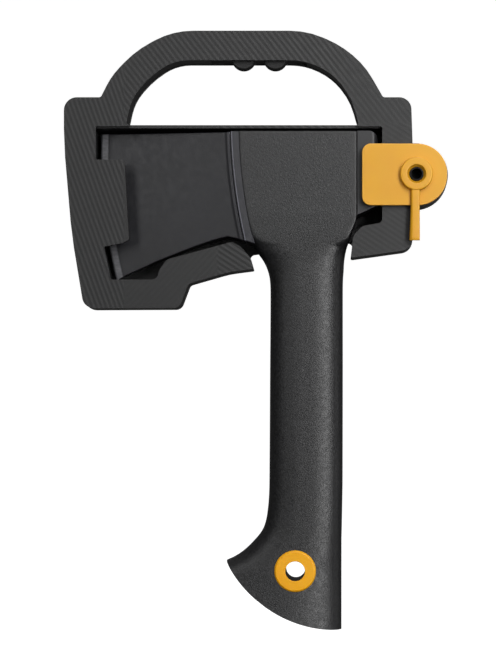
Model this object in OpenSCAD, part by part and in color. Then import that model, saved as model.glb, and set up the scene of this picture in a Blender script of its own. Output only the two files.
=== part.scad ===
// One-hand hatchet locked in its carry sheath.
// X runs from the cutting edge to the poll, Z is up and the sheath's open side faces -Y.
// The origin is the seat under the carry bar, between the two finger bumps.

/* [Hatchet] */
// Mid line of the grip across the hatchet, from the origin
grip_x = 21.6; // [20.5:0.1:22.5]
// Width of the grip
grip_w = 33.8; // [28:0.2:36]
// Half thickness of the grip
grip_half = 11.5; // [9.5:0.1:12.2]
// Half thickness of the moulded wrap around the head
wrap_half = 12.5; // [11:0.1:12.6]
// Height of the top of the wrap and head
head_top = -32.3; // [-36:0.1:-32]
// Lowest point of the butt
butt_z = -262; // [-300:1:-220]
// Wall of the hollow grip
grip_wall = 3; // [2:0.1:4]
// Thickness of the butt cap
cap_t = 2.5; // [1.6:0.1:4]
// Cutting edge at its foremost point
edge_x = -73.8; // [-74.5:0.1:-66]
// Radius of the curved cutting edge
edge_r = 240; // [200:5:300]
// Width of the ground bevel
bevel_w = 3.7; // [2:0.1:6]
// Half thickness of the poll
poll_half = 12; // [9:0.1:12.5]

/* [Lanyard eyelet] */
// Radius of the lanyard hole
eyelet_hole_r = 4.5; // [3:0.1:5]
// Radius of the eyelet's flange
eyelet_flange_r = 9.6; // [8:0.1:11]
// Thickness of the eyelet's flange
eyelet_flange_t = 1.9; // [1.2:0.1:2.5]

/* [Sheath] */
// Half depth of the sheath in front of the hatchet's middle plane
face_half = 13.5; // [13.5:0.1:16]
// Thickness of the front face and tongue
face_t = 2.4; // [1.6:0.1:3]
// Thickness of the side walls
wall = 2; // [1.4:0.1:2.6]
// Inner face of the back shell's wall
back_y = 12.8; // [12.8:0.1:16]
// Thickness of the back shell
back_t = 2.7; // [1.6:0.1:4]
// Depth of the carry bar
bar_depth = 13.5; // [11:0.5:13.5]
// Height of the carry bar
bar_h = 13.5; // [10:0.1:18]
// Thickness of the rail over the head
rail_t = 1.4; // [1:0.1:1.6]
// Distance between the two finger bumps
bump_pitch = 14.6; // [13:0.1:18]
// Drop of the finger bumps below the carry bar
bump_drop = 3.6; // [1.5:0.1:4]

/* [Latch] */
// Pivot of the latch, across
pivot_x = 72; // [70:0.1:73]
// Pivot of the latch, up
pivot_z = -52.7; // [-56:0.1:-50]
// Reach of the latch plate from its pivot to its free end
latch_reach = 24.8; // [21:0.1:26]
// Half height of the latch plate and radius of its round end
latch_r = 14.1; // [12:0.1:15]
// Thickness of the latch plate
latch_t = 3; // [2:0.1:4]
// Gap between the sheath face and the latch plate
latch_gap = 0.3; // [0.2:0.05:0.6]
// Radius of the post's shaft
post_r = 3.7; // [3.4:0.1:4.5]
// Radius of the post's tip in the ring
tip_r = 3; // [2.7:0.1:3.3]
// Radius of the blind hole in the post
post_hole_r = 2.4; // [1.5:0.1:2.4]
// Radial running clearance on the post
post_clear = 0.05; // [0.02:0.01:0.1]
// Outer radius of the pull tab's ring
ring_r = 7.5; // [6.5:0.1:9]
// Thickness of the pull tab's ring
ring_t = 3; // [2.4:0.1:4]
// Length of the pull tab's tail from the pivot
tail_len = 30.3; // [20:0.1:40]
// Width of the pull tab's tail
tail_w = 4.4; // [3:0.1:6]

/* [Hidden] */
$fn = 96;
arc_step = 8;
fit = 0.1;
far = 60;

// Blade and joint with the wrap
edge_level = -42;
joint_x = -9.6;
joint_r = 250;
joint_level = -26;
collar_w = 3.4;
ridge_w = 5;
ridge_half = 9.8;
collar_half = 12.1;
cheek_half = 8;
wedge_half = cheek_half + 9.2;
bevel_half = 1.2;
poll_joint = 44.7;
poll_end = 54.4;
core_half = 4.5;
core_top = head_top - 4;
core_bottom = -62;
core_end = poll_joint + 1;
lock_w = 13;
lock_h = 9;
lock_x = [8, 28];

// Grip
butt_r = 58.4;
butt_centre = [36.7, butt_z + butt_r];
toe_z = butt_z + 31.8;
neck_z = -86;
flare_z = butt_z + 62;
oval_grip = 3;
eyelet_x = 16.5;
eyelet_z = butt_z + 27.5;
eyelet_seat = grip_half - 1.1;
barrel_r = eyelet_hole_r + 1.1;
sleeve_r = barrel_r + fit / 2 + 1;
boss_r = sleeve_r + 2.6;
grip_l = grip_x - grip_w / 2;
grip_r = grip_x + grip_w / 2;

// Sheath levels and places
front_y = -face_half;
inner_y = front_y + face_t;
back_face = back_y + back_t;
bar_back = front_y + bar_depth;
bar_mid = front_y + bar_depth / 2;
bar_under = 0;
shoulder_z = -17;
bar_top = bar_under + bar_h;
rail_under = -30.9;
rail_top = rail_under + rail_t;
part_y = 0;
flange = 0.35;
flange_t = 1.2;
draft = 1.4;
lip_t = 1.2;
lip_h = 3;
lip_gap = 0.5;
guard_gap = 2;
guard_t = 1.2;
guard_y = -4;
guard_in = 0.6;
rib_gap = 0.5;
rib_x = [-50, -32];
rib_t = 1.6;
rib_low = -74;
rib_h = 36;
ear_gap = 0.5;
grip_pad_w = 8;
grip_pad_l = 44;
grip_pad_t = 2.2;
bump_w = 10.4;
bump_curve = (bump_drop * bump_drop + bump_w * bump_w / 4) / (2 * bump_drop);

// Latch stack along Y, from the sheath face outwards
washer_t = 0.8;
washer_r = 8;
plate_back = front_y - latch_gap;
plate_front = plate_back - latch_t;
ring_back = plate_front - 0.1;
ring_front = ring_back - ring_t;
collar_back = ring_back - 0.3;
collar_front = collar_back - 0.7;
groove_front = collar_front - 0.1;
snap_r = post_r + 0.6;
tip_front = groove_front - 0.9;
sink_r = 4.3;
sink_floor = tip_front - 0.1;
hole_depth = 9;
post_sink = 0.3;
cap_disc_r = 6;
cap_disc_t = 2;
boss_out = 9;
tail_shift = 0.6;
tail_in = 0.3;

// Right edges of the sheath
side_x = 70.4;
ledge_x = 56.5;
step_x = [-63.5, 48.5];

// Top outline of the carry bar, from the left shoulder to the right one
arch_pts = [[-72.6, shoulder_z, 1.4], [-67.6, -7.1, 60], [-56.5, 4.4, 60],
    [-39.5, bar_top, 60], [22, bar_top, 60], [37.4, 6.9, 60], [48.5, -2.4, 60], [56.9, shoulder_z, 1.4]];
// Step of the shoulders down to the rail
function step_pts(top) = [[step_x[0], shoulder_z, 3], [step_x[0] + 2, top, 0.4],
    [step_x[1] - 1.7, top, 0.4], [step_x[1], shoulder_z, 3]];
// Right side, handle exit, arm, bottom and left side
lower_pts = [[69.7, shoulder_z, 5.6], [side_x, -37, 80], [side_x, -86.7, 5.5], [42.2, -90.6, 0.8],
    [41.7, -83.3, 0.8], [-3.7, -88.9, 0.8], [-2.5, -95.7, 0.8], [-14, -97.2, 40],
    [-32.4, -102.5, 2.5], [-36.6, -113.6, 3.5], [-80.3, -113.8, 5.5], [-85.9, -80, 150],
    [-89.5, -38, 150], [-89.5, shoulder_z, 6]];
face_pts = concat(arch_pts, lower_pts);
body_pts = concat(step_pts(rail_top), lower_pts);
back_pts = concat(step_pts(rail_top + draft), lower_pts);
// Hand opening under the carry bar
hand_pts = [[-61, rail_top, 1], [-58.4, -17.5, 60], [-49.9, -7.4, 60], [-38.6, bar_under, 60],
    [21, bar_under, 60], [33.5, -6, 60], [42, -16.3, 60], [45.8, rail_top, 1]];
// Right and lower edges that the opening and the pocket share
shared_pts = [[ledge_x, -30.4, 1], [ledge_x, -74.5, 2.2], [47.5, -76, 4], [43.2, -80.4, 5],
    [42.1, -90, 0.5], [42.1, -104, 0], [-2.4, -104, 0], [-2.6, -95.7, 0.5], [-4.2, -90.2, 5],
    [-8.6, -85.4, 4], [-12.4, -83.3, 0.8], [-42.3, -91.4, 4], [-45.6, -96, 5]];
// Front opening around the tongue
open_pts = concat([[-74.9, -30.3, 0.6], [-59.5, -30.3, 0.1], [-59.5, rail_top + 0.5, 0.1],
    [44.9, rail_top + 0.5, 0.1], [44.9, -30.4, 0.1]], shared_pts,
    [[-47, -100.6, 3], [-68, -100.6, 1], [-71.1, -85.5, 0.6], [-62.5, -83.8, 1.5],
    [-59.6, -82.3, 1], [-60.2, -73, 60], [-61.7, -45.6, 2.3], [-74.9, -45.6, 0.8]]);
// Pocket behind the front face
pocket_pts = concat([[-77.9, rail_under, 1], [ledge_x - 1, rail_under, 0.2]], shared_pts,
    [[-47, -101.2, 3], [-70.8, -101.2, 1.5], [-77.6, -62, 60]]);

// Stations of the grip and wrap: height, left edge, right edge, half thickness, squareness
stations = [
    [head_top, -19, 46.8, wrap_half - 0.5, 14], [head_top - 1, -19, 46.8, wrap_half, 14],
    [-50, -19, 46.8, wrap_half, 14], [-66, -17, 46, wrap_half, 12],
    [-71, -13.5, 45.2, wrap_half, 10], [-75, -10, 43.9, wrap_half - 0.1, 8],
    [-79, -6.4, 42.3, wrap_half - 0.2, 6.5], [-83, -3.9, 41, wrap_half - 0.4, 5.2],
    [neck_z, -2.2, 40.1, wrap_half - 0.6, 4.6],
    [neck_z - 3, 0, 39.5, grip_half + 0.2, 3.6], [neck_z - 6, 2, 39.1, grip_half, 3.3],
    [neck_z - 10, 3.7, grip_r + 0.4, grip_half, oval_grip], [neck_z - 14, grip_l - 0.1, grip_r + 0.1, grip_half, oval_grip],
    [neck_z - 20, grip_l + 0.2, grip_r, grip_half, oval_grip], [(neck_z + flare_z) / 2, grip_l, grip_r, grip_half, oval_grip],
    [flare_z + 7, grip_l - 0.3, grip_r - 0.1, grip_half, oval_grip],
    [flare_z, grip_l - 0.5, grip_r - 0.2, grip_half, oval_grip], [flare_z - 6, grip_l - 1, grip_r - 0.3, grip_half, oval_grip],
    [flare_z - 12, grip_l - 2, grip_r - 0.4, grip_half, oval_grip], [flare_z - 16.5, grip_l - 3.8, grip_r - 0.5, grip_half, oval_grip],
    [flare_z - 21, grip_l - 7.4, grip_r - 0.6, grip_half, oval_grip], [flare_z - 25.5, grip_l - 12.1, grip_r - 0.6, grip_half, oval_grip],
    [flare_z - 28.5, grip_l - 16.5, grip_r - 0.6, grip_half, oval_grip], [flare_z - 31, grip_l - 22, grip_r - 0.6, grip_half, oval_grip],
    [flare_z - 36, grip_l - 32, grip_r - 0.6, grip_half, oval_grip], [flare_z - 64, grip_l - 50, grip_r - 0.6, grip_half, oval_grip]];
cavity_first = 9;
ring_points = 40;

// Rounded outlines: each corner is [across, up, radius]
function unit(v) = v / norm(v);
function xz(p) = [p[0], p[1]];
function turn(a, p, b) = cross(xz(p) - xz(a), xz(b) - xz(p));
function corner(a, p, b, r) =
    let (
        u = unit(xz(a) - xz(p)),
        v = unit(xz(b) - xz(p)),
        inside = acos(max(-1, min(1, u * v)))
    )
    r < 0.05 || inside > 179 ? [xz(p)] :
    let (
        reach = min(r / tan(inside / 2), 0.48 * min(norm(xz(a) - xz(p)), norm(xz(b) - xz(p)))),
        radius = reach * tan(inside / 2),
        centre = xz(p) + unit(u + v) * radius / sin(inside / 2),
        start = xz(p) + u * reach - centre,
        side = turn(a, p, b) < 0 ? -1 : 1,
        steps = max(1, ceil((180 - inside) / arc_step))
    )
    [for (k = [0 : steps])
        let (w = side * (180 - inside) * k / steps)
        centre + [start[0] * cos(w) - start[1] * sin(w), start[0] * sin(w) + start[1] * cos(w)]];
function rounded(pts) =
    let (n = len(pts))
    [for (i = [0 : n - 1]) each corner(pts[(i + n - 1) % n], pts[i], pts[(i + 1) % n], pts[i][2])];
// The same outline moved inwards by d; the outlines run clockwise
function inward(a, b) = let (d = unit(xz(b) - xz(a))) [d[1], -d[0]];
function inset(pts, d) =
    let (n = len(pts))
    [for (i = [0 : n - 1])
        let (
            a = pts[(i + n - 1) % n],
            p = pts[i],
            b = pts[(i + 1) % n],
            na = inward(a, p),
            nb = inward(p, b),
            q = xz(p) + d * (na + nb) / (1 + na * nb),
            r = turn(a, p, b) < 0 ? max(0.2, p[2] - d) : max(0.2, p[2] + d)
        )
        [q[0], q[1], p[2] == 0 ? 0 : r]];

// Moves a sub-part from the hatchet's middle plane to the frame of the seat
module placed() {
    translate([0, -bar_mid, 0]) children();
}
// A plate with its outline in X and Z, between two levels of Y
module plate(y0, y1) {
    translate([0, y1, 0]) rotate([90, 0, 0]) linear_extrude(y1 - y0) children();
}
module outline_plate(pts, y0, y1) {
    plate(y0, y1) polygon(rounded(pts));
}
// A round bar along Y
module bar_y(x, z, r, y0, y1) {
    translate([x, y1, z]) rotate([90, 0, 0]) cylinder(r = r, h = y1 - y0);
}
// A large disc about a Y axis, its profile given as radius and height
module disc_y(x, z, profile) {
    translate([x, 0, z]) rotate([90, 0, 0]) rotate_extrude($fn = 360) polygon(profile);
}

// One ring of the grip's surface
function oval(s, inside) =
    let (
        cx = (s[1] + s[2]) / 2,
        a = (s[2] - s[1]) / 2 - inside,
        b = s[3] - inside,
        e = 2 / s[4]
    )
    [for (k = [0 : ring_points - 1])
        let (w = 360 * (k + 0.5) / ring_points, c = cos(w), t = sin(w))
        [cx + a * sign(c) * pow(abs(c), e), b * sign(t) * pow(abs(t), e), s[0]]];
module loft(first, inside) {
    rows = [for (i = [first : len(stations) - 1]) oval(stations[i], inside)];
    n = ring_points;
    m = len(rows);
    polyhedron(
        points = [for (row = rows) each row],
        faces = concat(
            [[for (k = [0 : n - 1]) n - 1 - k]],
            [[for (k = [0 : n - 1]) (m - 1) * n + k]],
            [for (i = [0 : m - 2], k = [0 : n - 1])
                [i * n + k, i * n + (k + 1) % n, (i + 1) * n + (k + 1) % n]],
            [for (i = [0 : m - 2], k = [0 : n - 1])
                [i * n + k, (i + 1) * n + (k + 1) % n, (i + 1) * n + k]]));
}
// Everything above the toe, or inside the butt's curve less a margin
module above_butt(margin) {
    bar_y(butt_centre[0], butt_centre[1], butt_r - margin, -far, far);
    translate([-far, -far, toe_z + 1]) cube([3 * far, 2 * far, head_top - toe_z]);
}
module butt_band(outer, inner) {
    difference() {
        bar_y(butt_centre[0], butt_centre[1], butt_r - outer, -far, far);
        bar_y(butt_centre[0], butt_centre[1], butt_r - inner, -2 * far, 2 * far);
        translate([-2 * far, -2 * far, toe_z + 1]) cube([5 * far, 4 * far, 3 * far]);
    }
}

// The steel inside the wrap, with two windows that lock the moulding
module steel_core() {
    difference() {
        translate([joint_x - 1, -core_half, core_bottom])
            cube([core_end - joint_x + 1, 2 * core_half, core_top - core_bottom]);
        for (x = lock_x)
            translate([x - lock_w / 2, -far, (core_top + core_bottom) / 2 - lock_h / 2])
                cube([lock_w, 2 * far, lock_h]);
    }
}
module joint_disc(reach, half) {
    disc_y(joint_x + joint_r, joint_level,
        [[0, -half], [joint_r + reach, -half], [joint_r + reach, half], [0, half]]);
}
module blade_side() {
    outline_plate([[-80, head_top, 0], [-2, head_top, 0], [-2, -84, 0], [-9, -81.9, 2],
        [-14.5, -80.2, 5], [-30, -84.9, 60], [-64, -98.9, 60], [-80, -106.5, 0]], -far, far);
}
module poll() {
    intersection() {
        outline_plate([[poll_joint, head_top + 0.4, 0], [poll_end, head_top + 0.4, 4.2],
            [poll_end, -66.9, 1], [48.4, -69.2, 8], [poll_joint, -71.1, 0]], -poll_half, poll_half);
        linear_extrude(4 * far, center = true)
            polygon(rounded([[poll_joint, poll_half, 0], [poll_end, poll_half, 2.5],
                [poll_end, -poll_half, 2.5], [poll_joint, -poll_half, 0]]));
    }
}

module axe_head() {
    color("dimgray") placed() union() {
        difference() {
            intersection() {
                blade_side();
                union() {
                    disc_y(edge_x + edge_r, edge_level,
                        [[edge_r / 2, 0], [edge_r / 2, -wedge_half], [edge_r - bevel_w, -bevel_half],
                        [edge_r, 0], [edge_r - bevel_w, bevel_half], [edge_r / 2, wedge_half]]);
                    joint_disc(collar_w, collar_half);
                    disc_y(joint_x + joint_r, joint_level,
                        [[0, -ridge_half], [joint_r + ridge_w, -ridge_half], [joint_r + ridge_w + 1, -cheek_half],
                        [joint_r + ridge_w + 1, cheek_half], [joint_r + ridge_w, ridge_half], [0, ridge_half]]);
                }
            }
            joint_disc(0, 3 * far);
        }
        difference() {
            steel_core();
            translate([-far, -far, -3 * far]) cube([far + joint_x - 0.5, 2 * far, 3 * far]);
        }
        poll();
    }
}

module handle_shell() {
    color([0.16, 0.16, 0.17]) placed() difference() {
        union() {
            difference() {
                intersection() {
                    loft(0, 0);
                    above_butt(cap_t);
                    union() {
                        joint_disc(0, far);
                        translate([-far, -far, 2 * butt_z]) cube([3 * far, 2 * far, neck_z - 2 * butt_z]);
                    }
                }
                loft(cavity_first, grip_wall);
            }
            bar_y(eyelet_x, eyelet_z, boss_r, -grip_half + grip_wall - 1, grip_half - grip_wall + 1);
        }
        bar_y(eyelet_x, eyelet_z, sleeve_r + fit / 2, -far, far);
        bar_y(eyelet_x, eyelet_z, eyelet_flange_r + fit / 2, -far, -eyelet_seat);
        bar_y(eyelet_x, eyelet_z, eyelet_flange_r + fit / 2, eyelet_seat, far);
        translate([poll_joint, -far, -2 * far]) cube([far, 2 * far, 3 * far]);
        steel_core();
    }
}

module butt_cap() {
    color([0.12, 0.12, 0.12]) placed() union() {
        intersection() {
            loft(0, 0);
            butt_band(0, cap_t);
        }
        intersection() {
            loft(cavity_first, grip_wall + fit);
            butt_band(cap_t, cap_t + 4);
        }
    }
}

// Half of the eyelet: a flange and a tube, facing -Y
module eyelet_half(tube_in, tube_out, tube_len) {
    difference() {
        union() {
            translate([eyelet_x, 0, eyelet_z]) rotate([90, 0, 0]) rotate_extrude()
                polygon([[tube_in, eyelet_seat], [eyelet_flange_r, eyelet_seat],
                    [eyelet_flange_r, eyelet_seat + eyelet_flange_t - 0.7],
                    [eyelet_flange_r - 0.7, eyelet_seat + eyelet_flange_t],
                    [tube_in, eyelet_seat + eyelet_flange_t]]);
            bar_y(eyelet_x, eyelet_z, tube_out, -eyelet_seat - 0.2, tube_len - eyelet_seat);
        }
        bar_y(eyelet_x, eyelet_z, tube_in, -far, far);
    }
}
module eyelet_front() {
    color("orange") placed() eyelet_half(eyelet_hole_r, barrel_r, 2 * eyelet_seat);
}
module eyelet_back() {
    color("darkorange") placed() difference() {
        mirror([0, 1, 0]) eyelet_half(barrel_r + fit / 2, sleeve_r, 2 * eyelet_seat - 2);
        bar_y(eyelet_x, eyelet_z, barrel_r + fit / 2, -far, far);
    }
}

// Lobe that carries the latch's pivot
module ear(gap, y0, y1) {
    bar_y(pivot_x, pivot_z, latch_r + gap, y0, y1);
    translate([ledge_x + wall, y0, pivot_z - latch_r - gap])
        cube([pivot_x - ledge_x - wall, y1 - y0, 2 * (latch_r + gap)]);
}
module post_bore(r) {
    bar_y(pivot_x, pivot_z, r, -far, far);
}
// Walls round the sheath and round its pocket, between two levels
module shell_walls(pts, margin, y0, y1) {
    difference() {
        outline_plate(inset(pts, margin), y0, y1);
        difference() {
            outline_plate(inset(pts, margin + wall), -far, far);
            outline_plate(inset(pocket_pts, -wall), -2 * far, 2 * far);
        }
        outline_plate(pocket_pts, -far, far);
    }
}

// The hand opening, a little narrower at the flange
module hand_hole() {
    outline_plate(hand_pts, -far, bar_back - flange_t);
    outline_plate(inset(hand_pts, flange), -far, far);
}

module sheath_front() {
    color([0.2, 0.2, 0.2]) placed() difference() {
        union() {
            difference() {
                outline_plate(face_pts, front_y, inner_y);
                outline_plate(open_pts, -far, far);
            }
            shell_walls(body_pts, 0, inner_y, part_y);
            difference() {
                outline_plate(inset(face_pts, -flange), bar_back - flange_t, bar_back);
                outline_plate(inset(body_pts, wall), -far, far);
            }
            difference() {
                outline_plate(face_pts, inner_y, bar_back);
                outline_plate(body_pts, -far, far);
                translate([step_x[0] - 2 * far, -far, shoulder_z - far]) cube([2 * far, 2 * far, far]);
                translate([step_x[1], -far, shoulder_z - far]) cube([2 * far, 2 * far, far]);
            }
            difference() {
                union() {
                    ear(ear_gap, front_y, part_y);
                    ear(ear_gap + flange, bar_back - flange_t, bar_back);
                }
                ear(ear_gap - wall, inner_y, far);
            }
            bar_y(pivot_x, pivot_z, boss_out, inner_y, part_y);
        }
        hand_hole();
        outline_plate(pocket_pts, inner_y, far);
        post_bore(post_r + post_clear);
        bar_y(pivot_x, pivot_z, washer_r + fit, -far, front_y + washer_t - latch_gap);
        translate([-grip_pad_l / 2 - fit, bar_mid - grip_pad_w / 2 - fit, bar_under - 1])
            cube([grip_pad_l + 2 * fit, grip_pad_w + 2 * fit, 1 + grip_pad_t]);
    }
}

module sheath_back() {
    color([0.14, 0.14, 0.14]) placed() difference() {
        union() {
            outline_plate(inset(back_pts, draft), back_y, back_face);
            shell_walls(back_pts, draft, part_y, back_y);
            difference() {
                ear(ear_gap - draft, part_y, back_face);
                ear(ear_gap - draft - wall, -far, back_y);
            }
            difference() {
                outline_plate(inset(body_pts, wall + fit), part_y - lip_h, part_y);
                outline_plate(inset(body_pts, wall + fit + lip_t), -far, far);
                outline_plate(inset(pocket_pts, -wall - lip_gap), -far, far);
                ear(ear_gap + lip_gap, -far, far);
            }
            difference() {
                intersection() {
                    bar_y(edge_x + edge_r, edge_level, edge_r + guard_gap + guard_t, guard_y, back_y);
                    outline_plate(inset(pocket_pts, guard_in), guard_y, back_y);
                }
                bar_y(edge_x + edge_r, edge_level, edge_r + guard_gap, -far, far);
            }
            for (x = rib_x)
                rest_rib(x);
            bar_y(pivot_x, pivot_z, boss_out, part_y, back_face);
        }
        hand_hole();
        post_bore(post_r + post_clear);
        bar_y(pivot_x, pivot_z, cap_disc_r + fit, back_face - cap_disc_t, far);
    }
}
// A rib of the back shell that backs the blade's cheek
module rest_rib(x) {
    cheek = bevel_half + (wedge_half - bevel_half) * (x - edge_x - bevel_w) / (edge_r / 2 - bevel_w);
    translate([x - rib_t / 2, cheek + rib_gap, rib_low])
        cube([rib_t, back_y - cheek - rib_gap, rib_h]);
}

module hand_grip() {
    color([0.08, 0.08, 0.08]) placed() union() {
        translate([-grip_pad_l / 2, bar_mid - grip_pad_w / 2, bar_under])
            cube([grip_pad_l, grip_pad_w, grip_pad_t]);
        intersection() {
            for (x = [-bump_pitch / 2, bump_pitch / 2])
                bar_y(x, bar_under - bump_drop + bump_curve, bump_curve,
                    bar_mid - grip_pad_w / 2, bar_mid + grip_pad_w / 2);
            translate([-far, -far, bar_under - far]) cube([2 * far, 2 * far, far + 1]);
        }
    }
}

module latch_plate() {
    color("orange") placed() difference() {
        outline_plate([[pivot_x - latch_reach, pivot_z + latch_r, 4], [pivot_x + latch_r, pivot_z + latch_r, latch_r],
            [pivot_x + latch_r, pivot_z - latch_r, latch_r], [pivot_x - latch_reach, pivot_z - latch_r, 4]],
            plate_front, plate_back);
        post_bore(post_r + post_clear);
    }
}
module latch_washer() {
    color("silver") placed() difference() {
        bar_y(pivot_x, pivot_z, washer_r, plate_back + 0.05, front_y + washer_t - latch_gap);
        post_bore(post_r + post_clear);
    }
}
module pull_tab() {
    color([0.93, 0.6, 0.15]) placed() difference() {
        union() {
            bar_y(pivot_x, pivot_z, ring_r, ring_front, ring_back);
            translate([pivot_x - tail_w / 2 - tail_shift, ring_front + tail_in, pivot_z - tail_len + tail_w / 2])
                cube([tail_w, ring_t - 2 * tail_in, tail_len - tail_w / 2]);
            bar_y(pivot_x - tail_shift, pivot_z - tail_len + tail_w / 2, tail_w / 2,
                ring_front + tail_in, ring_back - tail_in);
        }
        translate([pivot_x, 0, pivot_z]) rotate([90, 0, 0]) rotate_extrude()
            polygon([[0, -ring_back - 1], [post_r + post_clear, -ring_back - 1], [post_r + post_clear, -collar_back - 0.1],
                [snap_r + post_clear, -collar_back - 0.1], [snap_r + post_clear, -groove_front],
                [tip_r + post_clear, -groove_front], [tip_r + post_clear, -sink_floor],
                [sink_r, -ring_front], [sink_r, -ring_front + 1], [0, -ring_front + 1]]);
    }
}
module latch_post() {
    color([0.05, 0.05, 0.05]) placed() difference() {
        union() {
            bar_y(pivot_x, pivot_z, tip_r, tip_front, back_face - post_sink);
            bar_y(pivot_x, pivot_z, post_r, collar_front, back_face - post_sink);
            bar_y(pivot_x, pivot_z, snap_r, collar_front, collar_back);
        }
        bar_y(pivot_x, pivot_z, post_hole_r, -far, tip_front + hole_depth);
    }
}
module post_cap() {
    color([0.1, 0.1, 0.1]) placed() difference() {
        bar_y(pivot_x, pivot_z, cap_disc_r, back_face - cap_disc_t, back_face);
        post_bore(post_r);
    }
}

axe_head();
handle_shell();
butt_cap();
eyelet_front();
eyelet_back();
sheath_front();
sheath_back();
hand_grip();
latch_plate();
latch_washer();
pull_tab();
latch_post();
post_cap();
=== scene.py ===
import math

import bmesh
import bpy
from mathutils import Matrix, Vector


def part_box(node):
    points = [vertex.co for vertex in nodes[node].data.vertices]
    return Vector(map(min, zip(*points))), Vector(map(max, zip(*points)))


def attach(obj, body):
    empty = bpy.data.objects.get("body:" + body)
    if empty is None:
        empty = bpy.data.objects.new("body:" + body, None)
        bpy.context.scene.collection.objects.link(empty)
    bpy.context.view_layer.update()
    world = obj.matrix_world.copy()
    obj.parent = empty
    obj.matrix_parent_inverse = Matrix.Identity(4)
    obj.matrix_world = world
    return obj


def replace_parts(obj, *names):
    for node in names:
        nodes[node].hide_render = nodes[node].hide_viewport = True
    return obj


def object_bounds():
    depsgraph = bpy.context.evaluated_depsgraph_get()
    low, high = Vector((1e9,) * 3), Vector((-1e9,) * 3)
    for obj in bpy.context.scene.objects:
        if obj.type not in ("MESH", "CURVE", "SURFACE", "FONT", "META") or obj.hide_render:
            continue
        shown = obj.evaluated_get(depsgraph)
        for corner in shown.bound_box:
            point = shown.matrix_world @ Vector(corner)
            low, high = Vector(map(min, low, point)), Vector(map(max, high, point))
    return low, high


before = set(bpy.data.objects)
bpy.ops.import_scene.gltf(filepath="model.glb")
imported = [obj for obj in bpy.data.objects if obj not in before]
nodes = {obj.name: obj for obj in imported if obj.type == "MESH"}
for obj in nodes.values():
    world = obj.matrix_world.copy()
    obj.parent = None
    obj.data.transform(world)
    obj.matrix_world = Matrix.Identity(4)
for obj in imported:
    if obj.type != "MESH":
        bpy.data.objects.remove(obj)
cad_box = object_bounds()

MM = 0.001


# ---------------------------------------------------------------- places from the frame
def middle(node):
    low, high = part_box(node)
    return (low + high) / 2


POST = middle("latch_post")
EYELET = middle("eyelet_front")
HEAD_LOW, HEAD_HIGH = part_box("axe_head")
GRIP_LOW, GRIP_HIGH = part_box("handle_shell")
FACE_LOW, FACE_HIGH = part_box("sheath_front")
MID_Y = (HEAD_LOW.y + HEAD_HIGH.y) / 2
GRIP_Z_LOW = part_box("butt_cap")[0].z
# The blade's cutting edge is an arc whose foremost point is at EDGE_LEVEL
EDGE_X, EDGE_R, EDGE_LEVEL = HEAD_LOW.x, 240 * MM, -42 * MM


# ---------------------------------------------------------------- material tools
class Recipe:
    """A Principled material with a few helpers for noise, bumps and masks."""

    def __init__(self, name, colour, roughness, metallic=0.0, specular=0.5):
        self.mat = bpy.data.materials.new(name)
        self.mat.use_nodes = True
        self.tree = self.mat.node_tree
        self.shader = self.tree.nodes["Principled BSDF"]
        self.shader.inputs["Base Color"].default_value = (*colour, 1)
        self.shader.inputs["Roughness"].default_value = roughness
        self.shader.inputs["Metallic"].default_value = metallic
        self.shader.inputs["Specular IOR Level"].default_value = specular
        self.coords = self.tree.nodes.new("ShaderNodeTexCoord")

    def node(self, kind, **settings):
        made = self.tree.nodes.new(kind)
        for key, value in settings.items():
            setattr(made, key, value)
        return made

    def feed(self, target, value):
        if isinstance(value, (int, float, tuple)):
            target.default_value = value
        else:
            self.tree.links.new(value, target)

    def math(self, operation, a, b=0.0):
        made = self.node("ShaderNodeMath", operation=operation)
        for socket, value in zip(made.inputs, (a, b)):
            self.feed(socket, value)
        return made.outputs[0]

    def place(self):
        return self.coords.outputs["Object"]

    def axis(self, letter):
        split = self.node("ShaderNodeSeparateXYZ")
        self.feed(split.inputs[0], self.place())
        return split.outputs[letter]

    def noise(self, scale, detail=2.0, rough=0.5, stretch=(1, 1, 1)):
        mapping = self.node("ShaderNodeMapping")
        mapping.inputs["Scale"].default_value = stretch
        self.feed(mapping.inputs["Vector"], self.place())
        made = self.node("ShaderNodeTexNoise")
        made.inputs["Scale"].default_value = scale
        made.inputs["Detail"].default_value = detail
        made.inputs["Roughness"].default_value = rough
        self.feed(made.inputs["Vector"], mapping.outputs[0])
        return made.outputs["Fac"]

    def spread(self, value, low, high, to_low=0.0, to_high=1.0):
        made = self.node("ShaderNodeMapRange")
        self.feed(made.inputs["Value"], value)
        limits = {"From Min": low, "From Max": high, "To Min": to_low, "To Max": to_high}
        for name, number in limits.items():
            made.inputs[name].default_value = number
        return made.outputs[0]

    def mix(self, factor, a, b):
        made = self.node("ShaderNodeMix", data_type="RGBA")
        self.feed(made.inputs["Factor"], factor)
        for socket, colour in ((made.inputs["A"], a), (made.inputs["B"], b)):
            self.feed(socket, (*colour, 1) if isinstance(colour, tuple) else colour)
        return made.outputs["Result"]

    def colour(self, value):
        self.feed(self.shader.inputs["Base Color"], value)

    def roughness(self, value):
        self.feed(self.shader.inputs["Roughness"], value)

    def bump(self, *layers):
        """Each layer is (height, strength, distance in metres)."""
        normal = None
        for height, strength, distance in layers:
            made = self.node("ShaderNodeBump")
            made.inputs["Strength"].default_value = strength
            made.inputs["Distance"].default_value = distance
            self.feed(made.inputs["Height"], height)
            if normal:
                self.feed(made.inputs["Normal"], normal)
            normal = made.outputs[0]
        self.feed(self.shader.inputs["Normal"], normal)


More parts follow.
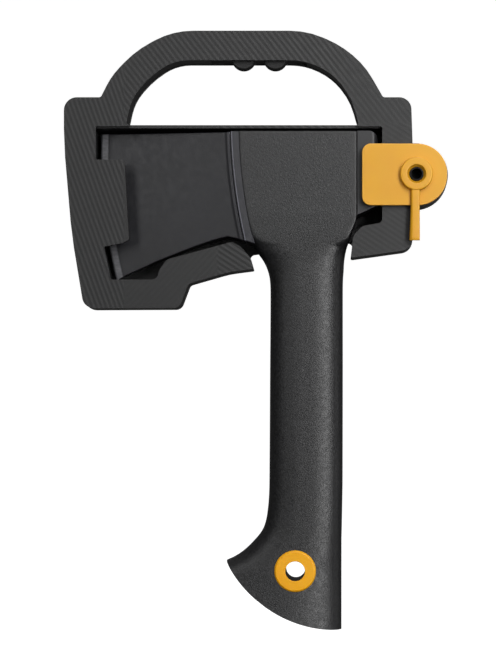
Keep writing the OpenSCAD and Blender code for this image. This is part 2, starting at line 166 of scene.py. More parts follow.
# ---------------------------------------------------------------- materials
# Zones of the sheath's face: where the slant of its ribs changes, and each zone's slant and pitch
BLADE_SIDE_X, ARM_END_X, UPPER_Z = -62 * MM, -19 * MM, -29 * MM
BLADE_SIDE_RIBS, ARM_RIBS = (70, 2.05 * MM), (-47, 2.2 * MM)
ARM_END_RIBS, UPPER_RIBS = (33, 2.2 * MM), (52, 2.2 * MM)
# The ribs grow shallow on the ear; on the rounded edges the painted highlight is gone at the
# outer edge and full from here
EAR_START_X, EAR_END_X = 30 * MM, 45 * MM
OUTER_EDGE_X, EDGE_HIGHLIGHT_X = -79 * MM, -76 * MM


def rib_height(r):
    """Fine slanted ribs on the sheath's face; their slant changes from zone to zone."""
    x, z = r.axis("X"), r.axis("Z")

    def ribs(angle, pitch):
        along = r.math("ADD", r.math("MULTIPLY", x, math.sin(math.radians(angle))),
                       r.math("MULTIPLY", z, math.cos(math.radians(angle))))
        return r.math("SINE", r.math("MULTIPLY", along, 2 * math.pi / pitch))

    def switch(value, edge):
        return r.spread(value, edge - 0.6 * MM, edge + 0.6 * MM)

    def blend(factor, a, b):
        made = r.node("ShaderNodeMix")
        for socket, value in (("Factor", factor), ("A", a), ("B", b)):
            r.feed(made.inputs[socket], value)
        return made.outputs["Result"]

    steep, rising = ribs(*BLADE_SIDE_RIBS), ribs(*ARM_RIBS)
    shallow, top = ribs(*ARM_END_RIBS), ribs(*UPPER_RIBS)
    right_of_blade = switch(x, BLADE_SIDE_X)
    on_arm_end = switch(x, ARM_END_X)
    high = switch(z, UPPER_Z)
    lower = blend(on_arm_end, blend(right_of_blade, steep, rising), shallow)
    upper = blend(right_of_blade, steep, top)
    return blend(high, lower, upper)


def sheath_face_material(name, tone):
    r = Recipe(name, (tone, tone, tone), 0.46, specular=0.45)
    facing = r.node("ShaderNodeNewGeometry")
    split = r.node("ShaderNodeSeparateXYZ")
    r.feed(split.inputs[0], facing.outputs["True Normal"])
    front = r.spread(split.outputs["Y"], -0.5, -0.9)
    shallow = r.spread(r.axis("X"), EAR_START_X, EAR_END_X, 1.0, 0.35)
    ribs = r.math("MULTIPLY", r.math("MULTIPLY", rib_height(r), front), shallow)
    # The ribs' colour follows their height, paler on the crests and darker in the grooves:
    # painted light and shade on top of their bump.
    lines = r.spread(ribs, -1, 1)
    dark = (tone * 0.91, tone * 0.91, tone * 0.93)
    pale = (tone * 1.1, tone * 1.1, tone * 1.13)
    base = r.mix(lines, dark, pale)
    face = r.mix(r.spread(r.noise(45, 3), 0.35, 0.65), base, (tone, tone, tone * 1.02))
    # Faces that don't face the front (sides, undersides, back) are painted near black: painted
    # shade.
    r.colour(r.mix(front, (0.006, 0.006, 0.006), face))
    r.roughness(r.spread(r.noise(300, 2), 0.3, 0.7, 0.44, 0.54))
    r.bump((ribs, 0.28, 0.00010), (r.noise(1500, 2), 0.06, 0.00006))
    return r.mat


def plain_edge_material(name, tone, colour=None):
    """The rounded edges of a moulding; unless given a colour, they get a patchy painted highlight
    that fades out at the outer edge.
    """
    r = Recipe(name, colour or (tone, tone, tone), 0.4, specular=0.5)
    if not colour:
        # Painted highlight on the rounded edges, in patches; the outer edge keeps the face's dark
        # tone.
        highlight_patches = r.spread(r.noise(220, 3), 0.35, 0.65)
        edge_highlight = r.mix(highlight_patches, (tone * 0.6,) * 3, (tone * 1.3,) * 3)
        inward = r.spread(r.axis("X"), OUTER_EDGE_X, EDGE_HIGHLIGHT_X)
        r.colour(r.mix(inward, (0.012,) * 3, edge_highlight))
    r.roughness(r.spread(r.noise(400, 2), 0.3, 0.7, 0.34, 0.48))
    r.bump((r.noise(1400, 2), 0.08, 0.00006))
    return r.mat


def plain_shell_material():
    r = Recipe("shell_plain", (0.012, 0.012, 0.0125), 0.5, specular=0.4)
    r.colour(r.mix(r.noise(60, 3), (0.010, 0.010, 0.0105), (0.014, 0.014, 0.0145)))
    r.roughness(r.spread(r.noise(300, 2), 0.3, 0.7, 0.45, 0.6))
    r.bump((r.noise(1400, 3), 0.15, 0.0001))
    return r.mat


def grip_material():
    r = Recipe("grip_composite", (0.014, 0.014, 0.0145), 0.42, specular=0.5)
    speckle = r.spread(r.noise(900, 3, 0.6), 0.3, 0.7)
    r.colour(r.mix(speckle, (0.003, 0.003, 0.0034), (0.018, 0.018, 0.019)))
    r.roughness(r.spread(r.noise(500, 3), 0.3, 0.7, 0.34, 0.48))
    r.bump((r.noise(1500, 4, 0.65), 0.7, 0.00016))
    return r.mat


def steel_coat_material(name, tone, gloss):
    r = Recipe(name, (tone, tone, tone * 1.2), gloss, specular=0.5)
    dark = (tone * 0.9, tone * 0.9, tone * 1.05)
    pale = (tone * 1.1, tone * 1.1, tone * 1.3)
    r.colour(r.mix(r.spread(r.noise(50, 4), 0.3, 0.7), dark, pale))
    r.roughness(r.spread(r.noise(400, 3), 0.3, 0.7, gloss - 0.06, gloss + 0.08))
    r.bump((r.noise(1100, 3), 0.1, 0.00006))
    return r.mat


# Distances in from the cutting edge: the dark stoned line, then the end of the bright bevel
STONED_FROM, STONED_TO = 0.2 * MM, 0.9 * MM
FADE_FROM, FADE_TO = 2.9 * MM, 3.7 * MM
# The eyelet's barrel is dark up to here, measured from the hatchet's mid plane, and its
# flange is orange
BARREL_END, FLANGE_START = 10.9 * MM, 11.6 * MM


def ground_edge_material():
    """Bare ground steel: a dark stoned edge, then a bright bevel that fades into the coating; the
    bevel's pale bare-steel tone is raised by a painted reflection.
    """
    r = Recipe("ground_edge", (0.2, 0.2, 0.21), 0.35, metallic=0.2)
    lines = r.noise(900, 2, stretch=(0.05, 1, 1))
    across = r.math("SUBTRACT", r.axis("X"), EDGE_X + EDGE_R)
    along = r.math("SUBTRACT", r.axis("Z"), EDGE_LEVEL)
    squares = r.math("ADD", r.math("POWER", across, 2.0), r.math("POWER", along, 2.0))
    from_centre = r.math("SQRT", squares)
    inward = r.math("SUBTRACT", EDGE_R, from_centre)
    # The bevel's brightness is bare steel's paler tone, raised further by a painted reflection of
    # the lamps.
    bright = r.mix(r.spread(lines, 0.3, 0.7), (0.17, 0.17, 0.18), (0.25, 0.25, 0.265))
    stoned = r.mix(r.spread(inward, STONED_FROM, STONED_TO), (0.05, 0.05, 0.055), bright)
    r.colour(r.mix(r.spread(inward, FADE_FROM, FADE_TO), stoned, (0.018, 0.018, 0.02)))
    r.roughness(r.spread(lines, 0.3, 0.7, 0.28, 0.45))
    r.bump((lines, 0.2, 0.00008))
    return r.mat


def orange_material(name, pale, deep, dark_barrel=False):
    r = Recipe(name, pale, 0.38, specular=0.45)
    base = r.mix(r.spread(r.noise(35, 2), 0.3, 0.7), pale, deep)
    if dark_barrel:
        from_middle = r.math("ABSOLUTE", r.math("SUBTRACT", r.axis("Y"), MID_Y))
        base = r.mix(r.spread(from_middle, BARREL_END, FLANGE_START), (0.004, 0.004, 0.004), base)
    r.colour(base)
    r.shader.inputs["Subsurface Weight"].default_value = 0.08
    r.shader.inputs["Subsurface Radius"].default_value = (0.002, 0.0008, 0.0002)
    r.roughness(r.spread(r.noise(350, 3), 0.3, 0.7, 0.32, 0.46))
    r.bump((r.noise(1200, 3), 0.08, 0.0001))
    return r.mat


def rubber_material():
    r = Recipe("soft_grip", (0.02, 0.02, 0.02), 0.7, specular=0.3)
    r.colour(r.mix(r.noise(200, 3), (0.016, 0.016, 0.016), (0.026, 0.026, 0.026)))
    r.bump((r.noise(1500, 3), 0.25, 0.0001))
    return r.mat


def rivet_material():
    r = Recipe("rivet_black", (0.004, 0.004, 0.004), 0.5, specular=0.2)
    r.roughness(r.spread(r.noise(400, 2), 0.3, 0.7, 0.45, 0.6))
    r.colour(r.mix(r.noise(300, 2), (0.003, 0.003, 0.003), (0.006, 0.006, 0.006)))
    r.bump((r.noise(1300, 2), 0.1, 0.0001))
    return r.mat


def washer_material():
    r = Recipe("washer_steel", (0.55, 0.55, 0.56), 0.3, metallic=1.0)
    r.roughness(r.spread(r.noise(500, 3), 0.3, 0.7, 0.25, 0.4))
    r.bump((r.noise(900, 2), 0.1, 0.00005))
    return r.mat


SHEATH = sheath_face_material("sheath_face", 0.0125)
SHEATH_EDGE = plain_edge_material("sheath_edge", 0.08)
ORANGE_EDGE = plain_edge_material("orange_edge", 0.0, (0.85, 0.43, 0.05))
SHELL = plain_shell_material()
GRIP = grip_material()
STEEL = steel_coat_material("steel_coated", 0.014, 0.42)
COLLAR_STEEL = steel_coat_material("steel_collar", 0.03, 0.36)
# Paler, glossier steel for thin lines along the collar's edge and ridge: a painted highlight.
PAINTED_HIGHLIGHT_STEEL = steel_coat_material("steel_painted_highlight", 0.13, 0.3)
GROUND = ground_edge_material()
ORANGE = orange_material("orange_latch", (0.77, 0.385, 0.014), (0.73, 0.34, 0.012))
EYELET_ORANGE = orange_material("orange_eyelet", (0.9, 0.42, 0.004), (0.85, 0.37, 0.003),
                                dark_barrel=True)
RUBBER = rubber_material()
RIVET = rivet_material()
WASHER = washer_material()

# Each CAD node's material and how wide its edges are rounded
CAD_FINISH = {
    "eyelet_front": (EYELET_ORANGE, 0.2 * MM), "eyelet_back": (EYELET_ORANGE, 0.2 * MM),
    "sheath_front": (SHEATH, 0.5 * MM), "sheath_back": (SHELL, 0.4 * MM),
    "hand_grip": (RUBBER, 0.6 * MM), "latch_plate": (ORANGE, 0.4 * MM),
    "latch_washer": (WASHER, 0.1 * MM), "latch_post": (RIVET, 0.2 * MM),
    "post_cap": (RIVET, 0.2 * MM),
}
# Material of the rounded edges, where it differs
EDGE_FINISH = {"sheath_front": SHEATH_EDGE, "latch_plate": ORANGE_EDGE}


def even_normals(piece):
    """Lets the large flats keep their own normals, so only the rounded edges are shaded."""
    even = piece.modifiers.new("even", "WEIGHTED_NORMAL")
    even.weight = 80
    even.keep_sharp = True


def finish_cad(name, material, bevel):
    """Gives a CAD node its material, merges its flat triangles and rounds its edges."""
    piece = nodes[name]
    for place in piece.material_slots:
        place.material = material
    if name in EDGE_FINISH:
        piece.data.materials.append(EDGE_FINISH[name])
    weld = piece.modifiers.new("weld", "WELD")
    weld.merge_threshold = 0.00001
    flat = piece.modifiers.new("flat", "DECIMATE")
    flat.decimate_type = "DISSOLVE"
    flat.angle_limit = math.radians(0.5)
    round_off = piece.modifiers.new("round", "BEVEL")
    round_off.width = bevel
    round_off.segments = 3
    round_off.limit_method = "ANGLE"
    round_off.angle_limit = math.radians(35)
    round_off.use_clamp_overlap = True
    if name in EDGE_FINISH:
        round_off.material = len(piece.material_slots) - 1
    even_normals(piece)
    for face in piece.data.polygons:
        face.use_smooth = True


for node_name, (finish, width) in CAD_FINISH.items():
    finish_cad(node_name, finish, width)


# ---------------------------------------------------------------- pieces built in mesh code
def add_piece(name, verts, faces, materials, body,
              face_materials=None, sharp=None, even=True):
    """Makes one named piece, gives it its materials and ties it to its body."""
    mesh = bpy.data.meshes.new(name)
    mesh.from_pydata(verts, [], faces)
    for material in materials:
        mesh.materials.append(material)
    for index, face in enumerate(mesh.polygons):
        face.use_smooth = True
        if face_materials:
            face.material_index = face_materials[index]
    made = bpy.data.objects.new(name, mesh)
    bpy.context.scene.collection.objects.link(made)
    work = bmesh.new()
    work.from_mesh(mesh)
    bmesh.ops.remove_doubles(work, verts=work.verts, dist=1e-6)
    bmesh.ops.recalc_face_normals(work, faces=work.faces)
    work.to_mesh(mesh)
    work.free()
    if sharp:
        mesh.set_sharp_from_angle(angle=math.radians(sharp))
    if even:
        even_normals(made)
    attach(made, body)
    return made


def tube(columns, cap=True):
    """Joins rings of equal length into a surface, closed at both ends if cap is set."""
    size = len(columns[0])
    verts = [point for ring in columns for point in ring]
    faces, column_of = [], []
    for i in range(len(columns) - 1):
        for k in range(size):
            n = (k + 1) % size
            faces.append((i * size + k, i * size + n, (i + 1) * size + n, (i + 1) * size + k))
            column_of.append(i)
    if cap:
        last = (len(columns) - 1) * size
        faces += [tuple(range(size))[::-1], tuple(last + k for k in range(size))]
        column_of += [0, len(columns) - 2]
    return verts, faces, column_of


def slab_ring(x_at, top, low, half, round_off):
    """A ring round a slab that is 2 * half thick and rounded at its top and low edges.

    x_at gives the ring's x at a height; the rest are lengths and heights."""
    arc = [i * math.pi / 8 for i in range(5)]
    upper = [(top - round_off * (1 - math.cos(a)), round_off * (1 - math.sin(a))) for a in arc]
    lower = [(low + round_off * (1 - math.cos(a)), round_off * (1 - math.sin(a)))
             for a in reversed(arc)]
    first, last, rows = top - round_off, low + round_off, 14
    middle_rows = [(first + (last - first) * i / rows, 0.0) for i in range(1, rows)]
    front = upper + middle_rows + lower
    ring = [(x_at(z), MID_Y - max(half - cut, 0.0), z) for z, cut in front]
    ring += [(x_at(z), MID_Y + max(half - cut, 0.0), z) for z, cut in reversed(front)]
    return ring


# Blade: the joint with the wrap is an arc too; the low edge is a line with bends
JOINT_X, JOINT_R, JOINT_LEVEL = -9.6 * MM, 250 * MM, -26 * MM
HEAD_TOP = HEAD_HIGH.z - 0.4 * MM
BEVEL_WIDTH, BEVEL_HALF = 3.7 * MM, 1.2 * MM
# How fast the cheek's half thickness grows with the distance from the end of the bevel
WEDGE = (17.2 - 1.2) / (120 - 3.7)
CHEEK_STOP = 7 * MM
LOW_EDGE = [(-80, -106.5), (-64, -98.9), (-47, -91.4), (-30, -84.9), (-22, -82.3),
            (-17.5, -81.05), (-14.5, -80.5), (-11.5, -81.0), (-9, -81.9), (-2, -84)]
# The collar's section up to the cheek: distance from the joint, half thickness and the finish
# of the strip nearer the joint
# Strips with the fourth finish get the paler steel: a painted highlight along the collar's edge
# and its ridge.
COAT, BARE, BAND, PAINTED_HIGHLIGHT = 0, 1, 2, 3
COLLAR = [(-0.8, 11.6, BAND), (-0.1, 12.1, BAND), (1.6, 12.1, BAND), (2.9, 12.1, BAND),
          (3.3, 12.03, PAINTED_HIGHLIGHT), (3.5, 11.85, PAINTED_HIGHLIGHT), (3.56, 11.4, BAND), (3.6, 10.2, COAT),
          (3.75, 9.0, COAT), (4.1, 9.0, COAT), (4.25, 9.3, COAT), (4.5, 9.35, PAINTED_HIGHLIGHT),
          (5.4, 9.2, BAND), (5.9, 8.9, COAT), (6.4, 8.7, COAT)]


def arc_x(foremost, radius, level, z):
    """X at height z of an arc that bulges to the left and is foremost at the given level."""
    return foremost + radius - math.sqrt(radius ** 2 - (z - level) ** 2)


def edge_x(z):
    return arc_x(EDGE_X, EDGE_R, EDGE_LEVEL, z)


def joint_x(z):
    return arc_x(JOINT_X, JOINT_R, JOINT_LEVEL, z)


def low_edge(x):
    """Height of the blade's low edge at x."""
    x /= MM
    for (xa, za), (xb, zb) in zip(LOW_EDGE, LOW_EDGE[1:]):
        if x <= xb:
            return (za + (zb - za) * (x - xa) / (xb - xa)) * MM
    return LOW_EDGE[-1][1] * MM


def cheek_half(from_edge):
    """Half the cheek's thickness at a distance from the cutting edge."""
    return BEVEL_HALF + WEDGE * (from_edge - BEVEL_WIDTH)


def blade():
    """The head from its cutting edge to the collar at the joint with the wrap."""
    def column(place, half):
        low = -100 * MM
        for _ in range(12):
            low = low_edge(place(low))
        return slab_ring(place, HEAD_TOP, low, half, min(0.5 * MM, half * 0.6))

    columns = []
    bevel_steps = (0.0, 0.25, 0.5, 0.75, 0.97, 1.06)
    for step in bevel_steps:
        away = BEVEL_WIDTH * step
        half = BEVEL_HALF * step if step <= 1 else cheek_half(away)
        columns.append(column(lambda z, a=away: edge_x(z) + a, half + 0.02 * MM))
    start, cheek_steps = BEVEL_WIDTH * bevel_steps[-1], 14
    for step in range(1, cheek_steps + 1):
        share = step / cheek_steps
        reach = start + (JOINT_X - CHEEK_STOP - EDGE_X - start) * share
        columns.append(column(
            lambda z, s=share: (edge_x(z) + start) * (1 - s) + (joint_x(z) - CHEEK_STOP) * s,
            cheek_half(reach)))
    for away, half, _finish in reversed(COLLAR):
        columns.append(column(lambda z, a=away * MM: joint_x(z) - a, half * MM))
    verts, faces, column_of = tube(columns)
    bare = len(bevel_steps) - 1
    strips = [BARE] * bare + [COAT] * (len(columns) - bare - len(COLLAR))
    strips += [row[2] for row in reversed(COLLAR)]
    finish = [strips[place] for place in column_of]
    metals = (STEEL, GROUND, COLLAR_STEEL, PAINTED_HIGHLIGHT_STEEL)
    return add_piece("blade", verts, faces, metals, "hatchet", finish, sharp=28)


def poll():
    """The head's square end, with a groove where it leaves the wrap."""
    start, end = 44.6 * MM, HEAD_HIGH.x
    half = (HEAD_HIGH.y - HEAD_LOW.y) / 2
    top, corner, cheek_corner = HEAD_HIGH.z, 4.2 * MM, 2.5 * MM
    low_line = [(44.6, -71.1), (48.4, -69.4), (51.5, -67.9), (54.4, -66.9)]
    groove_x, groove_deep = start + 0.55 * MM, 1.2 * MM
    places = [start, groove_x, groove_x + 0.04 * MM]
    places += [groove_x + (end - groove_x) * math.sin(math.pi / 2 * step / 24)
               for step in range(1, 25)]
    columns = []
    for x in places:
        near = max(0.0, x - (end - corner))
        drop = corner - math.sqrt(max(corner ** 2 - near ** 2, 0.0))
        near = max(0.0, x - (end - cheek_corner))
        thin = cheek_corner - math.sqrt(max(cheek_corner ** 2 - near ** 2, 0.0))
        thin = groove_deep if x <= groove_x else thin
        low = low_line[-1][1]
        for (xa, za), (xb, zb) in zip(low_line, low_line[1:]):
            if xa <= x / MM <= xb:
                low = za + (zb - za) * (x / MM - xa) / (xb - xa)
        columns.append(slab_ring(lambda z, at=x: at, top - drop, low * MM, half - thin, 0.5 * MM))
    verts, faces, _ = tube(columns)
    return add_piece("poll", verts, faces, (STEEL,), "hatchet", sharp=35)


# Handle: stations of height, left edge, right edge, half thickness and squareness of the oval
GRIP_MID, GRIP_WIDE, WRAP_HALF = 21.6, 33.8, 12.5
LEFT, RIGHT = GRIP_MID - GRIP_WIDE / 2, GRIP_MID + GRIP_WIDE / 2
STATIONS = [
    (-32.3, -19, 46.8, WRAP_HALF, 14), (-50, -19, 46.8, WRAP_HALF, 14),
    (-66, -17, 46, WRAP_HALF, 12), (-71, -13.5, 45.2, WRAP_HALF, 10),
    (-75, -10, 43.9, 12.4, 8), (-79, -6.4, 42.3, 12.3, 6.5),
    (-83, -3.9, 41, 12.1, 5.2), (-86, -2.2, 40.1, 11.9, 4.6), (-89, 0, 39.5, 11.7, 3.6),
    (-92, 2, 39.1, 11.5, 3.3), (-96, 3.7, RIGHT + 0.4, 11.5, 3),
    (-100, LEFT - 0.1, RIGHT + 0.1, 11.5, 3), (-106, LEFT + 0.2, RIGHT, 11.5, 3),
    (-143, LEFT, RIGHT, 11.5, 3), (-193, LEFT - 0.3, RIGHT - 0.1, 11.5, 3),
    (-200, LEFT - 0.5, RIGHT - 0.2, 11.5, 3), (-206, LEFT - 1, RIGHT - 0.3, 11.5, 3),
    (-212, LEFT - 2, RIGHT - 0.4, 11.5, 3), (-216.5, LEFT - 3.8, RIGHT - 0.5, 11.5, 3),
    (-221, LEFT - 7.4, RIGHT - 0.6, 11.5, 3), (-225.5, LEFT - 12.1, RIGHT - 0.6, 11.5, 3),
    (-228.5, LEFT - 16.5, RIGHT - 0.6, 11.5, 3), (-231, LEFT - 22, RIGHT - 0.6, 11.5, 3),
    (-236, LEFT - 32, RIGHT - 0.6, 11.5, 3), (-264, LEFT - 50, RIGHT - 0.6, 11.5, 3)]
BUTT_X, BUTT_R = 36.7 * MM, 58.4 * MM
BUTT_Z = GRIP_Z_LOW + BUTT_R
POLL_JOINT = 44.7 * MM
SEAM = 0.12 * MM
# Above WRAP_LOW the oval is cut off at its joints with the head; its corners then grow
# square over WRAP_FADE of height, or over 1.5 mm of cut
WRAP_LOW, WRAP_FADE, CUT_FADE, CUT_SQUARE = -84 * MM, 14 * MM, 1.5, 90
# Points round the oval, even rows through the wrap, then rows that lead into the butt's arc
AROUND, WRAP_ROWS, WRAP_ROW, GRIP_ROWS = 128, 48, 1.6 * MM, 90
EYELET_HOLE = 7.9 * MM


def station(z):
    """Size of the handle's oval at height z, smooth between the stations."""
    z = max(min(z / MM, STATIONS[0][0]), STATIONS[-1][0])
    for i in range(len(STATIONS) - 1):
        if z >= STATIONS[i + 1][0]:
            break
    before = STATIONS[max(i - 1, 0)]
    a, b = STATIONS[i], STATIONS[i + 1]
    after = STATIONS[min(i + 2, len(STATIONS) - 1)]
    t = (z - a[0]) / (b[0] - a[0])
    found = []
    for k in range(1, 5):
        span = b[0] - a[0]
        slope_a = (b[k] - before[k]) / (b[0] - before[0]) * span if i else b[k] - a[k]
        slope_b = (after[k] - a[k]) / (after[0] - a[0]) * span
        found.append((2 * t ** 3 - 3 * t ** 2 + 1) * a[k] + (t ** 3 - 2 * t ** 2 + t) * slope_a
                     + (3 * t ** 2 - 2 * t ** 3) * b[k] + (t ** 3 - t ** 2) * slope_b)
    return found


def oval_point(z, around):
    """X and distance from the mid plane of one point of the handle's outline at height z."""
    left, right, half, square = station(z)
    if z > WRAP_LOW:
        joint = (joint_x(z) + SEAM) / MM
        cut = max(joint - left, right - POLL_JOINT / MM, 0.0)
        left, right = max(left, joint), min(right, POLL_JOINT / MM)
        square += (CUT_SQUARE - square) * min(1.0, cut / CUT_FADE, (z - WRAP_LOW) / WRAP_FADE)
    turn = 2 * math.pi * (around + 0.5) / AROUND
    c, t = math.cos(turn), math.sin(turn)
    x = (left + right) / 2 + (right - left) / 2 * math.copysign(abs(c) ** (2 / square), c)
    y = half * math.copysign(abs(t) ** (2 / square), t)
    return x * MM, y * MM


def handle():
    """The wrap round the head, the grip and the butt as one skin, open under the eyelet."""
    low_of = []
    for k in range(AROUND):
        high, low = -200 * MM, GRIP_Z_LOW
        for _ in range(40):
            mid = (high + low) / 2
            x, _y = oval_point(mid, k)
            inside = (x - BUTT_X) ** 2 + (mid - BUTT_Z) ** 2 < BUTT_R ** 2
            high, low = (mid, low) if inside else (high, mid)
        low_of.append(high)
    top = GRIP_HIGH.z
    heights = [top, top - 0.4 * MM]
    heights += [top - 1 * MM - i * WRAP_ROW for i in range(WRAP_ROWS)]
    neck = heights[-1]
    rings = []
    for z in heights:
        ring = []
        for k in range(AROUND):
            x, y = oval_point(z, k)
            ring.append((x, MID_Y + y * (0.985 if z == top else 1), z))
        rings.append(ring)
    for step in range(1, GRIP_ROWS + 1):
        ring = []
        for k in range(AROUND):
            z = neck + (low_of[k] - neck) * step / GRIP_ROWS
            x, y = oval_point(z, k)
            ring.append((x, MID_Y + y, z))
        rings.append(ring)
    verts, faces, _ = tube(rings, cap=False)
    last = (len(rings) - 1) * AROUND
    for base in (0, last):
        for k in range(AROUND // 2 - 1):
            a, b = base + k, base + k + 1
            faces.append((a, b, base + AROUND - 2 - k, base + AROUND - 1 - k))
    made = add_piece("handle", verts, faces, (GRIP,), "hatchet", even=False)
    open_eyelet_hole(made)
    soften = made.modifiers.new("round", "BEVEL")
    soften.width = 0.7 * MM
    soften.segments = 3
    soften.limit_method = "ANGLE"
    soften.angle_limit = math.radians(62)
    even_normals(made)
    return made


def open_eyelet_hole(piece):
    """Opens the handle under the eyelet's flanges and joins the two holes with a wall."""
    def off_axis(face):
        centre = face.calc_center_median()
        return (centre - Vector((EYELET.x, centre.y, EYELET.z))).length

    work = bmesh.new()
    work.from_mesh(piece.data)
    inside = [face for face in work.faces if off_axis(face) < EYELET_HOLE]
    bmesh.ops.delete(work, geom=inside, context="FACES")
    rim = [edge for edge in work.edges if edge.is_boundary]
    bmesh.ops.bridge_loops(work, edges=rim)
    bmesh.ops.recalc_face_normals(work, faces=work.faces)
    work.to_mesh(piece.data)
    work.free()


TAB_LOW, TAB_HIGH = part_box("pull_tab")
RING_OUTER = (TAB_HIGH.x - POST.x) / MM
# The pull ring's section: distance from the post's axis and depth behind the ring's front face
RING_SECTION = [(3.15, 2.2), (3.3, 2.0), (3.9, 1.1), (4.15, 0.4), (4.35, 0.08), (4.6, 0.0),
                (6.9, 0.0), (7.15, 0.1), (RING_OUTER - 0.1, 0.45), (RING_OUTER, 0.9),
                (RING_OUTER, 2.9), (4.2, 3.0), (4.2, 2.2)]
RING_STEPS, TAIL_STEPS = 72, 32


def pull_ring(front):
    """Ring round the post with a dished seat."""
    rings = []
    for i in range(RING_STEPS):
        turn = 2 * math.pi * i / RING_STEPS
        rings.append([(POST.x + r * MM * math.cos(turn), front + d * MM,
                       POST.z + r * MM * math.sin(turn)) for r, d in RING_SECTION])
    size = len(RING_SECTION)
    verts = [point for ring in rings for point in ring]
    faces = []
    for i in range(RING_STEPS):
        here, there = i * size, (i + 1) % RING_STEPS * size
        for k in range(size):
            n = (k + 1) % size
            faces.append((here + k, here + n, there + n, there + k))
    return add_piece("pull_ring", verts, faces, (ORANGE,), "tab", sharp=40)


def pull_tail(front):
    """Flexible tail whose left side slopes and whose end curls forward a little."""
    start, end = POST.z - 6.4 * MM, TAB_LOW.z
    middle_x = POST.x - 0.6 * MM
    columns = []
    for step in range(TAIL_STEPS + 1):
        along = step / TAIL_STEPS
        z = start + (end + 0.02 * MM - start) * along
        half = (1.95 + 0.25 * along) * MM
        lean = -0.45 * MM * along ** 2
        curl = max(0.0, (along - 0.45) / 0.55) ** 2 * 0.25 * MM
        face, rear = front + 0.5 * MM - curl, front + 2.6 * MM - curl
        slope = (0.5 + 0.75 * along) * MM
        round_in = 0.35 * MM if step == TAIL_STEPS else 0.0
        left, right = middle_x - half + lean, middle_x + half + lean * 0.2
        columns.append([
            (left, face + 1.15 * MM, z),
            (left + slope * 0.45, face + 0.45 * MM + round_in, z),
            (left + slope, face + 0.12 * MM + round_in, z),
            (left + slope + 0.3 * MM, face + round_in, z),
            (right - 0.45 * MM, face + round_in, z),
            (right - 0.12 * MM, face + 0.13 * MM + round_in, z),
            (right, face + 0.45 * MM + round_in, z),
            (right, rear - 0.2 * MM, z), (right - 0.2 * MM, rear, z),
            (left + 0.2 * MM, rear, z), (left, rear - 0.2 * MM, z)])
    verts, faces, _ = tube(columns)
    return add_piece("pull_tail", verts, faces, (ORANGE,), "tab", sharp=50)


def pull_tab():
    """The ring, which stands for the CAD node, and the tail that hangs from it."""
    ring = pull_ring(TAB_LOW.y)
    pull_tail(TAB_LOW.y)
    return ring


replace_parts(pull_tab(), "pull_tab")
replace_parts(blade(), "axe_head")
poll()
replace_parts(handle(), "handle_shell", "butt_cap")


# ---------------------------------------------------------------- stage, light and camera
BOWL_REACH, BOWL_CURVE, BOWL_RISE, BOWL_STEPS, BOWL_GLOW = 3.4, 1.0, 4, 48, 0.93


def stage_material():
    r = Recipe("stage_white", (0.5, 0.5, 0.5), 0.9, specular=0.1)
    r.shader.inputs["Emission Color"].default_value = (1, 1, 1, 1)
    r.shader.inputs["Emission Strength"].default_value = BOWL_GLOW
    return r.mat


def sweep(name, low):
    """A round floor that curves up into a wall on every side."""
    flat = BOWL_REACH - BOWL_CURVE
    profile = [(0.0, low), (flat, low)]
    for step in range(1, 9):
        turn = math.pi / 2 * step / 8
        profile.append((flat + BOWL_CURVE * math.sin(turn),
                        low + BOWL_CURVE * (1 - math.cos(turn))))
    profile.append((BOWL_REACH, low + BOWL_RISE))
    verts, faces = [], []
    for i in range(BOWL_STEPS):
        turn = 2 * math.pi * i / BOWL_STEPS
        verts += [(r * math.cos(turn), r * math.sin(turn), z) for r, z in profile]
    rows = len(profile)
    for i in range(BOWL_STEPS):
        n = (i + 1) % BOWL_STEPS
        faces += [(i * rows + k, n * rows + k, n * rows + k + 1, i * rows + k + 1)
                  for k in range(rows - 1)]
    mesh = bpy.data.meshes.new(name)
    mesh.from_pydata(verts, [], faces)
    for face in mesh.polygons:
        face.use_smooth = True
    made = bpy.data.objects.new(name, mesh)
    bpy.context.scene.collection.objects.link(made)
    made.data.materials.append(stage_material())
    made.visible_diffuse = False
    made.visible_glossy = False


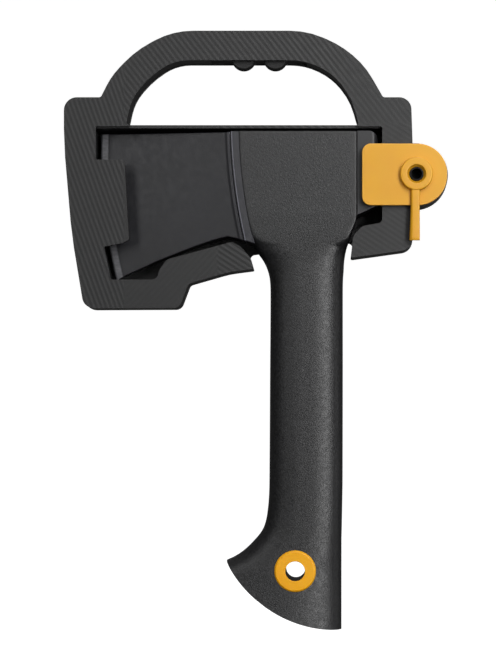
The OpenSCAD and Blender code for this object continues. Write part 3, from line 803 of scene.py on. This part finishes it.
def area_light(name, place, size, power, tall=None):
    """A rectangular lamp that faces the middle of the object."""
    lamp = bpy.data.lights.new(name, "AREA")
    lamp.energy = power
    lamp.shape = "RECTANGLE"
    lamp.size = size
    lamp.size_y = tall or size
    made = bpy.data.objects.new(name, lamp)
    made.location = place
    made.rotation_mode = "QUATERNION"
    made.rotation_quaternion = (CENTRE - Vector(place)).to_track_quat("-Z", "Y")
    bpy.context.scene.collection.objects.link(made)


CENTRE = (cad_box[0] + cad_box[1]) / 2
sweep("backdrop", cad_box[0].z - 30 * MM)
area_light("key", (0.35, -1.35, 0.7), 0.9, 7.6)
area_light("side", (0.6, -1.2, -0.1), 0.4, 17, tall=1.5)
area_light("left", (-0.55, -1.2, 0.25), 0.35, 2.5, tall=0.9)
area_light("rim", (1.3, -0.2, 0.0), 0.3, 2, tall=1.5)
area_light("top", (0.0, 0.2, 1.3), 1.0, 8)
area_light("behind", (0.7, 1.0, 1.1), 0.8, 3)
world = bpy.data.worlds.new("studio")
world.use_nodes = True
world.node_tree.nodes["Background"].inputs["Color"].default_value = (1, 1, 1, 1)
world.node_tree.nodes["Background"].inputs["Strength"].default_value = 0.08
bpy.context.scene.world = world

# The camera looks level along +Y, right of and below the picture's middle, so it is shifted
EYE = Vector((32.5 * MM, MID_Y - 0.95, -155.8 * MM))
PICTURE = Vector((-5.6 * MM, MID_Y, -124.2 * MM))
FRAME_TALL, SENSOR = 308.8 * MM, 36
camera = bpy.data.cameras.new("camera")
camera.sensor_width = SENSOR
camera.lens = SENSOR * (PICTURE.y - EYE.y) / FRAME_TALL
camera.shift_x = (PICTURE.x - EYE.x) / FRAME_TALL
camera.shift_y = (PICTURE.z - EYE.z) / FRAME_TALL
camera.clip_start = 0.05
viewer = bpy.data.objects.new("camera", camera)
viewer.location = EYE
viewer.rotation_euler = (math.pi / 2, 0, 0)
bpy.context.scene.collection.objects.link(viewer)
bpy.context.scene.camera = viewer
bpy.context.scene.view_settings.view_transform = "Standard"
